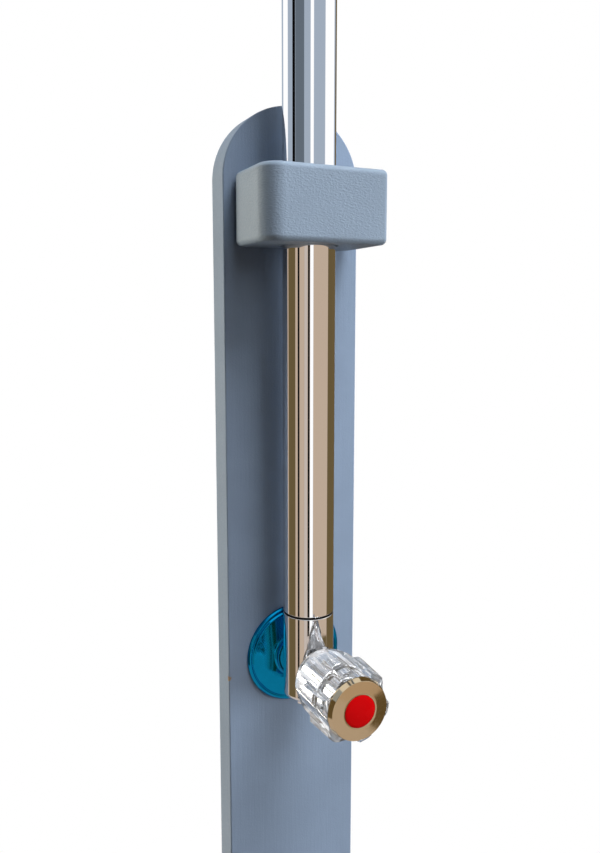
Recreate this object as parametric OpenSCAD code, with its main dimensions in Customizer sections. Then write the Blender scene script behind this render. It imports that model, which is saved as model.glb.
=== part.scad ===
// Outdoor shower post: a painted plank carries a chrome riser with a tap at hand height and a rose on top.
// Millimetres. +Z is up and the front is -Y. The origin is the centre of the plank's foot.

/* [Board] */
// Width of the plank, and so of its half-round top
board_w = 100; // [92:1:120]
// Thickness of the plank
board_t = 22; // [20:0.5:30]
// Rounding of the plank's long edges and of its arch
board_edge_r = 2.5; // [1:0.5:5]
// Height of the arch's centre above the tap's axis
arch_rise = 333; // [320:1:420]
// Height of the lower wall insert
insert_low_z = 300; // [100:10:500]
// Height of the upper wall insert
insert_high_z = 1200; // [1120:10:1260]

/* [Riser] */
// Height of the tap's axis above the foot
valve_z = 1050; // [1000:10:1100]
// Outside diameter of the riser tube
tube_d = 35; // [33:0.5:36]
// Wall of the riser tube
tube_wall = 1.5; // [1:0.1:2]
// Distance from the plank's face to the riser's axis
axis_out = 26; // [25:0.5:32]
// Height of the riser's top end
riser_top = 1930; // [1800:10:2100]

/* [Clamp block] */
// Width of the clamp block
block_w = 86; // [80:1:92]
// Depth of the clamp block, from the plank's face
block_d = 54.5; // [52:0.5:64]
// Height of the clamp block
block_h = 47.5; // [40:0.5:60]
// Height of the block's middle above the tap's axis
block_rise = 312.5; // [250:0.5:330]
// Radius of the block's left upright front corner
block_corner_r = 14; // [6:0.5:18]
// Rounding of the block's other edges
block_edge_r = 2.5; // [1:0.5:4]
// Wall of the bush in the block
bush_wall = 1.5; // [1:0.1:2.5]
// Distance between the two block screws
block_screw_pitch = 62; // [58:1:66]
// Radius of a block screw's shank
block_screw_r = 2.5; // [2:0.1:3]
// Length of a block screw
block_screw_len = 52; // [40:1:56]

/* [Tap body] */
// Height of the barrel's top shoulder above the tap's axis
barrel_rise = 39.5; // [36:0.5:60]
// Depth of the barrel's lower end below the tap's axis
barrel_drop = 21; // [20:0.5:28]
// Thickness of the black joint ring
joint_ring_t = 1.4; // [1:0.1:3]
// Length of the spigot that the riser slides over
spigot_len = 18; // [14:0.5:30]
// Radius of the branch that runs back to the plank
branch_r = 14.2; // [14:0.1:15.5]
// Radius of the round pocket behind the handle
pocket_r = 19.4; // [18:0.1:22]
// Depth of that pocket, from the front of the barrel
pocket_depth = 2.2; // [1:0.1:3]

/* [Flange] */
// Outside radius of the blue flange
flange_r = 36; // [32:0.5:42]
// Gap between the flange's hub and the barrel
flange_gap = 0.5; // [0.3:0.1:2]
// Thickness of the flange's sheet
flange_wall = 1.2; // [0.8:0.1:1.6]

/* [Inlet] */
// Outside radius of the inlet tail's thread
tail_r = 10.48; // [10.4:0.01:10.5]
// Radius of the inlet tail's bore
tail_bore_r = 6.5; // [5:0.1:7.5]
// How far the tail stands out of the plank's back
tail_out = 20; // [15:1:40]
// Width of the back nut across its flats
nut_flats = 30; // [27:1:32]
// Height of the back nut
nut_h = 6; // [5:0.5:8]

/* [Handle] */
// Radius of the handle at its back rim
knob_back_r = 19; // [18:0.1:20]
// Radius of the handle's waist, behind the ridges
knob_waist_r = 23.3; // [22:0.1:24.5]
// Radius of the handle over the back ends of its ridges
knob_ridge_r = 26; // [25.2:0.1:28]
// Radius of the handle over the front ends of its ridges
knob_front_r = 24.8; // [24:0.1:25.2]
// Length of the handle from its back rim to its front face
knob_len = 50; // [48:0.5:56]
// Distance from the back rim to the ridges
knob_shoulder = 22; // [20:0.5:26]
// Width of the bevel round the front face
knob_bevel = 1.2; // [0.5:0.1:2]
// Number of flutes round the handle
flutes = 6; // [5:1:8]
// Depth of a flute, from the back ends of the ridges
flute_depth = 5.4; // [4.5:0.1:6]
// Width of a ridge between two flutes, as an angle
ridge_angle = 13; // [10:1:18]
// Radius of the spindle
spindle_r = 5; // [4.6:0.1:5.4]
// Radius of the red index
index_r = 10.6; // [9:0.1:12]

/* [Swan neck and rose] */
// Radius of the swan neck's tube
neck_r = 11; // [9:0.5:12]
// Wall of the swan neck's tube
neck_wall = 1.2; // [0.8:0.1:2]
// Straight rise of the neck above the collar
neck_rise = 45; // [30:1:120]
// Radius of the neck's bend, at its middle line
bend_r = 85; // [60:1:110]
// Angle through which the neck bends
bend_angle = 160; // [120:1:170]
// Straight length after the bend
neck_end = 24; // [20:1:40]
// Radius of the ball joint's ball
ball_r = 9; // [8.5:0.1:9.5]
// Diameter of the rose
rose_d = 120; // [110:1:150]
// Distance from one ring of nozzles to the next
nozzle_pitch = 12; // [11.5:0.1:12]

/* [Hidden] */
// Clearances: seated pieces of one body, a shaft in its bearing, and pieces that only pass each other
seat_gap = 0.1;
run_gap = 0.05;
free_gap = 0.3;
// How far a cut runs past the face it opens
cut_over = 1;
// Fineness of the few shapes that are drawn in facets
hull_fn = 32;

// Plank
arch_z = valve_z + arch_rise;
insert_r = 6;
insert_len = 14;
insert_thread_r = 4;
tail_hole_r = tail_r + 0.5 * seat_gap + free_gap;

// Riser, block and bush
tube_r = tube_d / 2;
tube_bore_r = tube_r - tube_wall;
axis_y = -board_t / 2 - axis_out;
block_z = valve_z + block_rise;
bush_r = tube_r + seat_gap + bush_wall;
bush_lip = 2;
right_corner_share = 1.2;
block_hole_r = bush_r + seat_gap;
screw_head_r = 2 * block_screw_r;
screw_head_h = block_screw_r;
screw_drive_r = 0.6 * block_screw_r;

// Tap body, measured outward from the plank's face
branch_start = 0.6;
tail_seat = 13;
cartridge_seat = 17;
port_r = 12;
waterway_r = 7;
barrel_bore_r = 9;
barrel_foot_r = 4;
pocket_out = axis_out + tube_r - pocket_depth;
boss_r = 15;
spigot_r = tube_bore_r - seat_gap;
joint_z = valve_z + barrel_rise;
riser_z = joint_z + joint_ring_t;
ring_section_r = 1.2;
ring_groove_depth = 2 * ring_section_r;
ring_groove_w = 2.8;
ring_first = 6;
ring_pitch = 7;
plug_head_r = 12;
plug_head_h = 3.5;
plug_chamfer = 1;
plug_len = 8;
plug_hex_r = 4.6;
plug_hex_depth = 4;

// Flange: a rolled rim, a shallow dish and an upright hub round the branch
flange_rim = 2.4;
flange_step = 3.2;
flange_fit = 0.4;
flange_h = axis_out - tube_r - flange_gap;
flange_hub_r = branch_r + flange_fit + flange_wall;
flange_hub_run = 3;
flange_seal_t = 1;
flange_seal_w = 3;

// Inlet
tail_start = -board_t - tail_out;
washer_t = 1.5;
washer_r = 17;
nut_pocket_r = 19;
nut_sink = 1;
nut_pocket_depth = nut_h + washer_t + nut_sink;
tail_relief = 0.3;
fibre_t = 1.5;

// Cartridge, measured outward from the plank's face
cartridge_r = port_r - seat_gap;
seat_ring_t = 2;
disc_r = 9.3;
disc_t = 3;
disc_hole_r = 2.6;
disc_hole_out = 4.8;
disc_start = cartridge_seat + seat_ring_t + seat_gap;
turn_disc_start = disc_start + disc_t + run_gap;
foot_start = turn_disc_start + disc_t + run_gap;
foot_t = 2.6;
cage_r = disc_r + free_gap;
cage_end = foot_start + foot_t + run_gap;
window_r = 3;
cartridge_flange_t = 2.5;
cartridge_flange_r = 14;
cartridge_end = pocket_out + cartridge_flange_t;
stem_ring_r = 0.8;
stem_ring_first = 33;
stem_ring_pitch = 5;
clip_t = 1;
clip_w = 1.6;
clip_r = spindle_r + clip_w;

// Handle, measured outward from the plank's face
knob_gap = 2;
knob_start = axis_out + tube_r + knob_gap;
knob_end = knob_start + knob_len;
knob_step = 2.5;
flare_run_shares = [0.27, 0.62];
flare_rise_share = 0.65;
flute_start = 17;
flute_half_angle = (360 / flutes - ridge_angle) / 2;
flute_floor_r = knob_ridge_r - flute_depth;
bush_set_in = 17;
bush_len = 13;
spline_start = knob_start + bush_set_in;
spindle_end = spline_start + bush_len;
insert_bush_r = 7;
knob_boss_wall = 3;
knob_boss_r = insert_bush_r + knob_boss_wall;
knob_web = 4;
knob_wall = 4;
knob_cavity_r = knob_back_r - knob_wall;
knob_recess_r = 13;
handle_screw_r = 2;
handle_screw_len = 10;
handle_screw_head_r = 4;
handle_screw_head_h = 2.6;
spline_teeth = 20;
spline_step = 0.9;
spline_r = spindle_r - spline_step;
spline_depth = 0.45;

// Cap and index
cap_skirt_r = flute_floor_r - seat_gap;
cap_skirt_t = 1;
cap_taper = 1.2;
cap_edge_r = cap_skirt_r - cap_taper;
cap_rim_w = 1;
cap_rim_h = 0.5;
cap_face_r = index_r + cap_rim_w;
cap_rise = 5.1;
cap_wall = 1.2;
cap_plug_r = knob_recess_r - seat_gap;
cap_plug_len = 8;
index_t = 2.2;
index_dome_r = 60;
index_dome = 0.6;
index_post_r = 3;

// Collar at the riser's top, and the neck
collar_plug_len = 26;
collar_wall = 3;
collar_top_r = neck_r + collar_wall;
collar_h = 20;
neck_depth = 30;
neck_ledge = 2;
collar_bore_r = neck_r - neck_wall - neck_ledge;
neck_start = riser_top + collar_h - neck_depth;
collar_groove_up = 4;
collar_groove_z = riser_top + collar_groove_up;
collar_screw_r = 2;
collar_screw_down = 12;
collar_screw_z = riser_top - collar_screw_down;
bend_z = riser_top + collar_h + neck_rise;
bend_y = axis_y - bend_r;
neck_lap = 0.5;
neck_swage = 0.02;

// Ball joint, measured along the neck from its end
stud_sleeve_t = 2;
stud_sleeve_r = neck_r + stud_sleeve_t;
stud_sleeve_back = 12;
stud_shoulder = 4;
stud_stem_r = 5;
stud_bore_r = 3.5;
ball_at = 15;
cup_gap = 0.15;
cup_wall = 1.5;
cup_r = ball_r + cup_gap;
cup_out_r = cup_r + cup_wall;
socket_r = cup_out_r + cup_gap;
socket_wall = 2.6;
socket_out_r = socket_r + socket_wall;
socket_rear = 6;
socket_fore = 13;
socket_back = ball_at - socket_rear;
socket_front = ball_at + socket_fore;
socket_mouth_r = 9;
cup_rear = 4;
cup_fore = 5;
cup_back = ball_at - cup_rear;
cup_front = ball_at + cup_fore;

// Rose, measured along the neck from its end
rose_r = rose_d / 2;
rose_lip = 1;
rose_neck_r = socket_out_r + rose_lip;
rose_rim_h = 9;
rose_set = 8;
rose_start = ball_at + rose_set;
rose_dome = 9;
rose_wall = 1.5;
rose_top = rose_start + rose_dome;
face_t = 2.5;
face_start = rose_top + rose_rim_h - face_t;
face_r = rose_r - rose_wall - seat_gap;
gasket_t = 1.5;
gasket_w = 3;
nozzle_r = 2;
nozzle_bore_r = 0.6;
nozzle_head_r = 2.8;
nozzle_head_t = 1;
nozzle_out = 2.2;
nozzle_rings = floor((face_r - gasket_w - nozzle_head_r - free_gap) / nozzle_pitch);
strainer_t = 1.2;
strainer_r = 7.5;
strainer_holes = 6;
strainer_hole_r = 1.3;
strainer_ring_r = 4.6;

// Places a shape on the tap's axis, a distance out from the plank's face, with its +Z pointing outward.
module outward(h = 0) {
    translate([0, -board_t / 2 - h, valve_z]) rotate([90, 0, 0]) children();
}

// Places a shape on the riser's axis at a height.
module upright(z) {
    translate([0, axis_y, z]) children();
}

// Places a shape at the end of the swan neck, with its +Z along the neck.
module on_neck_end(along = 0) {
    translate([0, bend_y, bend_z])
        rotate([bend_angle, 0, 0])
            translate([0, bend_r, neck_end + along])
                children();
}

// A plain tube or washer.
module ring(r_out, r_in, h) {
    difference() {
        cylinder(h = h, r = r_out);
        translate([0, 0, -cut_over]) cylinder(h = h + 2 * cut_over, r = r_in);
    }
}

// A round rubber ring.
module o_ring(middle_r, section_r) {
    rotate_extrude() translate([middle_r, 0]) circle(r = section_r);
}

// A screw with a countersunk head, its point up and the top of its head at zero.
module countersunk_screw(r, len, head_r, head_h, drive_r) {
    difference() {
        union() {
            cylinder(h = head_h, r1 = head_r, r2 = r);
            cylinder(h = len, r = r);
        }
        translate([0, 0, -cut_over]) cylinder(h = cut_over + head_h / 2, r = drive_r, $fn = 6);
    }
}

// Cross-section of the plank, with its edges eased.
module board_section() {
    inner_w = board_w - 2 * board_edge_r;
    inner_t = board_t - 2 * board_edge_r;
    square([inner_w, board_t], center = true);
    square([board_w, inner_t], center = true);
    for (x = [-1, 1], y = [-1, 1])
        translate([x * inner_w / 2, y * inner_t / 2]) circle(r = board_edge_r);
}

module at_block_screws() {
    for (side = [-1, 1])
        translate([side * block_screw_pitch / 2, board_t / 2, block_z]) rotate([90, 0, 0]) children();
}

module at_wall_inserts() {
    for (z = [insert_low_z, insert_high_z])
        translate([0, board_t / 2, z]) rotate([90, 0, 0]) children();
}

module board() {
    color("slategray") difference() {
        union() {
            linear_extrude(height = arch_z) board_section();
            translate([0, 0, arch_z]) rotate([90, 0, 0]) rotate_extrude(angle = 180) intersection() {
                board_section();
                translate([0, -board_t / 2]) square([board_w / 2, board_t]);
            }
        }
        outward(-board_t - cut_over) cylinder(h = board_t + 2 * cut_over, r = tail_hole_r);
        outward(-board_t - cut_over) cylinder(h = nut_pocket_depth + cut_over, r = nut_pocket_r);
        at_block_screws() translate([0, 0, -cut_over])
            cylinder(h = board_t + 2 * cut_over, r = block_screw_r + seat_gap);
        at_block_screws() translate([0, 0, -cut_over])
            cylinder(h = cut_over + screw_head_h + seat_gap, r = screw_head_r + seat_gap);
        at_wall_inserts() translate([0, 0, -cut_over])
            cylinder(h = cut_over + insert_len + seat_gap, r = insert_r + seat_gap);
    }
}

module wall_inserts() {
    color("goldenrod") at_wall_inserts() difference() {
        cylinder(h = insert_len, r = insert_r);
        translate([0, 0, -cut_over]) cylinder(h = cut_over + insert_len - insert_thread_r / 2, r = insert_thread_r);
    }
}

// A round post of the block's height with both its ends eased.
module block_corner(r) {
    inner_h = block_h - 2 * block_edge_r;
    rotate_extrude($fn = hull_fn) hull() {
        translate([0, -block_h / 2]) square([r - block_edge_r, block_h]);
        for (z = [-1, 1]) intersection() {
            translate([r - block_edge_r, z * inner_h / 2]) circle(r = block_edge_r, $fn = hull_fn);
            translate([0, -block_h]) square([r, 2 * block_h]);
        }
    }
}

module clamp_block() {
    face_y = -board_t / 2;
    back_r = 2 * block_edge_r;
    right_r = right_corner_share * block_edge_r;
    color("slategray") difference() {
        hull() {
            translate([block_corner_r - block_w / 2, face_y - block_d + block_corner_r, block_z])
                block_corner(block_corner_r);
            translate([block_w / 2 - right_r, face_y - block_d + right_r, block_z])
                block_corner(right_r);
            for (side = [-1, 1])
                translate([side * (block_w / 2 - back_r), face_y - back_r, block_z])
                    block_corner(back_r);
        }
        upright(block_z - block_h) cylinder(h = 2 * block_h, r = block_hole_r);
        at_block_screws() cylinder(h = block_screw_len + seat_gap, r = block_screw_r + seat_gap);
    }
}

module block_screws() {
    color("silver") at_block_screws()
        countersunk_screw(block_screw_r, block_screw_len, screw_head_r, screw_head_h, screw_drive_r);
}

module clamp_bush() {
    color("white") upright(block_z - block_h / 2 + bush_lip)
        ring(bush_r, tube_r + seat_gap, block_h - 2 * bush_lip);
}

module riser_tube() {
    color("silver") upright(riser_z) difference() {
        ring(tube_r, tube_bore_r, riser_top - riser_z);
        translate([0, tube_r, collar_screw_z - riser_z]) rotate([90, 0, 0])
            translate([0, 0, -cut_over]) cylinder(h = cut_over + tube_r, r = collar_screw_r + seat_gap);
    }
}

module joint_ring() {
    color("black") upright(joint_z) ring(tube_r - seat_gap, spigot_r + seat_gap, joint_ring_t);
}

module spigot_rings() {
    color("black") for (i = [0, 1])
        upright(riser_z + ring_first + i * ring_pitch)
            o_ring(tube_bore_r - seat_gap / 2 - ring_section_r, ring_section_r);
}

// The upright barrel with its rounded foot and the spigot on top.
module barrel() {
    rotate_extrude() {
        translate([0, barrel_foot_r - barrel_drop]) square([tube_r, barrel_drop + barrel_rise - barrel_foot_r]);
        translate([0, -barrel_drop]) square([tube_r - barrel_foot_r, barrel_drop]);
        translate([tube_r - barrel_foot_r, barrel_foot_r - barrel_drop]) circle(r = barrel_foot_r);
        square([spigot_r, barrel_rise + joint_ring_t + spigot_len]);
    }
}

module valve_body() {
    color("silver") difference() {
        union() {
            upright(valve_z) barrel();
            outward(branch_start) cylinder(h = axis_out - branch_start, r = branch_r);
            outward(axis_out) cylinder(h = pocket_out - axis_out, r = boss_r);
        }
        upright(valve_z - barrel_drop - cut_over)
            cylinder(h = 2 * cut_over + barrel_drop + barrel_rise + joint_ring_t + spigot_len, r = barrel_bore_r);
        outward(pocket_out) cylinder(h = 2 * pocket_depth, r = pocket_r);
        outward(cartridge_seat) cylinder(h = pocket_out - cartridge_seat + cut_over, r = port_r);
        outward(branch_start - cut_over) cylinder(h = cartridge_seat - branch_start + 2 * cut_over, r = waterway_r);
        outward(branch_start - cut_over) cylinder(h = tail_seat - branch_start + cut_over, r = tail_r + seat_gap);
        for (i = [0, 1])
            upright(riser_z + ring_first + i * ring_pitch - ring_groove_w / 2)
                ring(spigot_r + cut_over, spigot_r - ring_groove_depth, ring_groove_w);
    }
}

module body_plug() {
    color("silver") upright(valve_z - barrel_drop) difference() {
        union() {
            cylinder(h = plug_len, r = barrel_bore_r - seat_gap);
            translate([0, 0, -plug_head_h]) cylinder(h = plug_head_h, r1 = plug_head_r - plug_chamfer, r2 = plug_head_r);
        }
        translate([0, 0, -plug_head_h - cut_over]) cylinder(h = cut_over + plug_hex_depth, r = plug_hex_r, $fn = 6);
    }
}

// One side of the flange's sheet: a rim, a step, a dish that climbs to the hub, and the hub's edge.
function flange_line(lift) = [
    [flange_r - lift, 0],
    [flange_r - lift, flange_rim - lift],
    [flange_r - flange_step, flange_rim + flange_step / 2 - lift],
    [flange_r - 2 * flange_step, flange_rim + flange_step / 2 - lift],
    [flange_hub_r + flange_hub_run, flange_h - flange_hub_run - lift],
    [flange_hub_r, flange_h - lift]
];

function reversed(list) = [for (i = [len(list) - 1:-1:0]) list[i]];

module flange() {
    outside = flange_line(0);
    inside = flange_line(flange_wall);
    color("steelblue") outward(0) rotate_extrude()
        polygon(concat(
            outside,
            [[flange_hub_r - flange_wall, flange_h], [flange_hub_r - flange_wall, flange_h - 2 * flange_wall]],
            reversed(inside)
        ));
}

module flange_seal() {
    seal_r = flange_r - 2 * flange_wall;
    color("dimgray") outward(0) ring(seal_r, seal_r - flange_seal_w, flange_seal_t);
}

// The tail, with a groove that parts the thread behind the plank from the nut's thread.
module inlet_tail() {
    color("goldenrod") difference() {
        outward(tail_start) ring(tail_r, tail_bore_r, tail_seat - fibre_t - tail_start);
        outward(-board_t) ring(tail_r + cut_over, tail_r - tail_relief, nut_sink);
    }
}

module tail_washer() {
    color("saddlebrown") outward(tail_seat - fibre_t) ring(tail_r, waterway_r, fibre_t);
}

module back_washer() {
    color("silver") outward(nut_pocket_depth - board_t - washer_t) ring(washer_r, tail_r + seat_gap, washer_t);
}

module back_nut() {
    color("goldenrod") outward(nut_pocket_depth - board_t - washer_t - nut_h) difference() {
        cylinder(h = nut_h, r = nut_flats / 2 / cos(30), $fn = 6);
        translate([0, 0, -cut_over]) cylinder(h = nut_h + 2 * cut_over, r = tail_r + seat_gap);
    }
}

module cartridge() {
    color("goldenrod") outward() difference() {
        union() {
            translate([0, 0, disc_start]) cylinder(h = cartridge_end - disc_start, r = cartridge_r);
            translate([0, 0, pocket_out]) cylinder(h = cartridge_flange_t, r = cartridge_flange_r, $fn = 6);
        }
        translate([0, 0, disc_start - cut_over]) cylinder(h = cage_end - disc_start + cut_over, r = cage_r);
        cylinder(h = cartridge_end + cut_over, r = spindle_r + run_gap);
        translate([0, 0, foot_start]) rotate([90, 0, 0])
            translate([0, 0, -2 * port_r]) cylinder(h = 4 * port_r, r = window_r);
    }
}

module seat_ring() {
    color("black") outward(cartridge_seat) ring(cartridge_r, waterway_r, seat_ring_t);
}

// A ceramic disc with two round passages.
module ceramic_disc() {
    difference() {
        cylinder(h = disc_t, r = disc_r);
        for (side = [-1, 1])
            translate([0, side * disc_hole_out, -cut_over]) cylinder(h = disc_t + 2 * cut_over, r = disc_hole_r);
    }
}

module fixed_disc() {
    color("white") outward(disc_start) ceramic_disc();
}

module turning_disc() {
    color("gainsboro") outward(turn_disc_start) rotate([0, 0, 90]) ceramic_disc();
}

// The stem's stretch inside the handle, with its splines.
module splines() {
    difference() {
        cylinder(h = spindle_end - spline_start + cut_over, r = spline_r);
        for (i = [0:spline_teeth - 1]) rotate([0, 0, i * 360 / spline_teeth])
            translate([spline_r, 0, -cut_over])
                cylinder(h = spindle_end - spline_start + 3 * cut_over, r = spline_depth, $fn = 4);
    }
}

module spindle() {
    color("goldenrod") outward() difference() {
        union() {
            translate([0, 0, foot_start]) cylinder(h = foot_t, r = disc_r);
            translate([0, 0, foot_start]) cylinder(h = spline_start - foot_start, r = spindle_r);
            intersection() {
                translate([0, 0, spline_start - cut_over]) splines();
                cylinder(h = spindle_end, r = spindle_r);
            }
        }
        translate([0, 0, spindle_end - handle_screw_len])
            cylinder(h = handle_screw_len + cut_over, r = handle_screw_r + seat_gap);
        for (i = [0, 1])
            translate([0, 0, stem_ring_first + i * stem_ring_pitch - stem_ring_r - seat_gap])
                ring(spindle_r + cut_over, spindle_r - 2 * stem_ring_r - seat_gap, 2 * (stem_ring_r + seat_gap));
        translate([0, 0, cartridge_end + run_gap]) ring(clip_r, spindle_r - clip_t, clip_t + 2 * seat_gap);
    }
}

module stem_rings() {
    color("black") for (i = [0, 1])
        outward(stem_ring_first + i * stem_ring_pitch)
            o_ring(spindle_r - stem_ring_r, stem_ring_r);
}

module spindle_clip() {
    color("silver") outward(cartridge_end + run_gap + seat_gap) difference() {
        ring(clip_r, spindle_r - clip_t + seat_gap, clip_t);
        translate([0, -clip_t, -cut_over]) cube([2 * clip_r, 2 * clip_t, clip_t + 2 * cut_over]);
    }
}

// Radius of a round flute that is this deep in a shaft of radius r and spans the flute's angle.
function flute_r(r, depth) =
    let (floor_r = r - depth, c = cos(flute_half_angle))
    (r * r + floor_r * floor_r - 2 * r * floor_r * c) / (2 * (r * c - floor_r));

module flute() {
    cut_r = flute_r(knob_ridge_r, flute_depth);
    translate([flute_floor_r + cut_r, 0, -cut_over]) cylinder(h = knob_len + 2 * cut_over, r = cut_r);
}

module handle_knob() {
    bush_end = bush_set_in + bush_len;
    recess_at = bush_end + knob_web;
    flare = knob_waist_r - knob_back_r;
    color("whitesmoke", 0.5) outward(knob_start) difference() {
        rotate_extrude() polygon([
            [knob_cavity_r, 0],
            [knob_back_r, 0],
            [knob_back_r + flare_rise_share * flare, flare_run_shares[0] * knob_shoulder],
            [knob_waist_r, flare_run_shares[1] * knob_shoulder],
            [knob_waist_r, knob_shoulder],
            [knob_ridge_r, knob_shoulder + knob_step],
            [knob_front_r, knob_len - knob_bevel],
            [knob_front_r - knob_bevel, knob_len],
            [knob_recess_r, knob_len],
            [knob_recess_r, recess_at],
            [handle_screw_r + seat_gap, recess_at],
            [handle_screw_r + seat_gap, bush_end],
            [insert_bush_r + seat_gap, bush_end],
            [insert_bush_r + seat_gap, bush_set_in],
            [knob_boss_r, bush_set_in],
            [knob_boss_r, bush_end],
            [knob_cavity_r, bush_end]
        ]);
        for (i = [0:flutes - 1]) rotate([0, 0, flute_start + i * 360 / flutes]) flute();
    }
}

module handle_bush() {
    color("ivory") outward(spline_start + seat_gap)
        ring(insert_bush_r, spline_r + seat_gap, spindle_end - spline_start - 2 * seat_gap);
}

module handle_screw() {
    color("silver") outward(spindle_end + knob_web) difference() {
        union() {
            cylinder(h = handle_screw_head_h, r = handle_screw_head_r);
            translate([0, 0, -handle_screw_len]) cylinder(h = handle_screw_len, r = handle_screw_r);
        }
        translate([0, 0, handle_screw_head_h / 2])
            cylinder(h = handle_screw_head_h, r = handle_screw_r, $fn = 6);
    }
}

module handle_cap() {
    color("silver") outward(knob_end) difference() {
        union() {
            rotate_extrude() polygon([
                [cap_plug_r - cap_wall, 0],
                [cap_skirt_r, 0],
                [cap_skirt_r, cap_skirt_t],
                [cap_edge_r, cap_rise - cap_rim_h],
                [cap_face_r, cap_rise],
                [0, cap_rise],
                [0, cap_rise - index_t - cap_wall],
                [cap_plug_r - cap_wall, cap_rise - index_t - cap_wall]
            ]);
            translate([0, 0, -cap_plug_len]) ring(cap_plug_r, cap_plug_r - cap_wall, cap_plug_len + cap_skirt_t);
        }
        translate([0, 0, cap_rise - index_t]) cylinder(h = index_t + cut_over, r = index_r + seat_gap);
        translate([0, 0, -cut_over]) cylinder(h = cap_rise + cut_over, r = index_post_r + seat_gap);
    }
}

module index_disc() {
    color("red") outward(knob_end) rotate_extrude($fn = 4 * hull_fn) {
        intersection() {
            translate([0, cap_rise - index_t]) square([index_r, 2 * index_t]);
            translate([0, cap_rise + index_dome - index_dome_r]) circle(r = index_dome_r, $fn = 16 * hull_fn);
        }
        translate([0, cap_rise - 2 * index_t - cap_wall]) square([index_post_r, index_t + 2 * cap_wall]);
    }
}

module collar() {
    color("silver") upright(riser_top) difference() {
        rotate_extrude() polygon([
            [collar_bore_r, -collar_plug_len],
            [tube_bore_r - seat_gap, -collar_plug_len],
            [tube_bore_r - seat_gap, 0],
            [tube_r, 0],
            [tube_r, collar_h / 4],
            [collar_top_r, collar_h * 3 / 4],
            [collar_top_r, collar_h],
            [neck_r + run_gap, collar_h],
            [neck_r + run_gap, collar_h - neck_depth],
            [collar_bore_r, collar_h - neck_depth]
        ]);
        translate([0, 0, collar_groove_z - riser_top - ring_section_r])
            ring(neck_r + 2 * ring_section_r + seat_gap, neck_r, 2 * ring_section_r);
        translate([0, tube_r, collar_screw_z - riser_top]) rotate([90, 0, 0])
            cylinder(h = tube_r - neck_r - free_gap, r = collar_screw_r + seat_gap);
    }
}

module collar_ring() {
    color("black") upright(collar_groove_z)
        o_ring(neck_r + run_gap + ring_section_r, ring_section_r - seat_gap / 4);
}

module collar_screw() {
    screw_len = tube_r - neck_r - 2 * free_gap;
    color("dimgray") upright(collar_screw_z) translate([0, tube_r, 0]) rotate([90, 0, 0]) difference() {
        cylinder(h = screw_len, r = collar_screw_r);
        translate([0, 0, -cut_over]) cylinder(h = cut_over + collar_screw_r, r = collar_screw_r / 2, $fn = 6);
    }
}

// The swan neck's three stretches, drawn solid at a radius. The straight ones lap over the bend and are a hair wider.
module neck_path(r, over) {
    upright(neck_start + run_gap - over)
        cylinder(h = bend_z - neck_start - run_gap + over + neck_lap, r = r + neck_swage);
    translate([0, bend_y, bend_z]) rotate([90, 0, 90])
        rotate_extrude(angle = bend_angle) translate([bend_r, 0]) circle(r = r);
    on_neck_end(-neck_end - neck_lap) cylinder(h = neck_end + neck_lap + over, r = r + neck_swage);
}

module swan_neck() {
    color("silver") difference() {
        neck_path(neck_r - neck_swage, 0);
        neck_path(neck_r - neck_wall, cut_over);
    }
}

module ball_stud() {
    color("silver") on_neck_end() difference() {
        union() {
            translate([0, 0, -stud_sleeve_back])
                ring(stud_sleeve_r, neck_r + seat_gap, stud_sleeve_back + seat_gap);
            cylinder(h = stud_shoulder, r1 = stud_sleeve_r, r2 = stud_stem_r);
            cylinder(h = ball_at, r = stud_stem_r);
            translate([0, 0, ball_at]) sphere(r = ball_r);
        }
        translate([0, 0, -cut_over]) cylinder(h = ball_at + 2 * ball_r, r = stud_bore_r);
    }
}

module ball_cup() {
    color("white") on_neck_end() intersection() {
        difference() {
            translate([0, 0, ball_at]) sphere(r = cup_out_r);
            translate([0, 0, ball_at]) sphere(r = cup_r);
        }
        translate([0, 0, cup_back]) cylinder(h = cup_front - cup_back, r = 2 * cup_out_r);
    }
}

module ball_socket() {
    color("silver") on_neck_end() difference() {
        translate([0, 0, socket_back]) cylinder(h = socket_front - socket_back, r = socket_out_r);
        translate([0, 0, ball_at]) sphere(r = socket_r);
        translate([0, 0, socket_back - cut_over]) cylinder(h = ball_r, r = socket_mouth_r);
        translate([0, 0, ball_at]) cylinder(h = 2 * socket_r, r = strainer_r + seat_gap);
    }
}

module rose_shell() {
    color("silver") on_neck_end() difference() {
        rotate_extrude() polygon([
            [socket_out_r + seat_gap, rose_start],
            [rose_neck_r + rose_lip, rose_start],
            [rose_neck_r + rose_wall, rose_start + rose_dome / 3],
            [rose_r - rose_wall, rose_top - rose_wall],
            [rose_r, rose_top],
            [rose_r, rose_top + rose_rim_h],
            [rose_r - rose_wall, rose_top + rose_rim_h],
            [rose_r - rose_wall, rose_top],
            [rose_neck_r + rose_wall, rose_start + rose_dome / 3 + rose_wall],
            [socket_out_r + seat_gap, rose_start + rose_dome / 3 + rose_wall]
        ]);
    }
}

module rose_gasket() {
    color("black") on_neck_end() translate([0, 0, face_start - gasket_t]) ring(face_r, face_r - gasket_w, gasket_t);
}

// Puts a shape at every nozzle of the rose: one in the middle and rings of six, twelve and so on.
module at_nozzles() {
    children();
    for (i = [1:nozzle_rings], k = [0:6 * i - 1]) rotate([0, 0, k * 60 / i])
        translate([i * nozzle_pitch, 0, 0]) children();
}

module rose_face() {
    color("silver") on_neck_end(face_start) difference() {
        cylinder(h = face_t, r = face_r);
        at_nozzles() translate([0, 0, -cut_over]) cylinder(h = face_t + 2 * cut_over, r = nozzle_r + seat_gap);
    }
}

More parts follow.
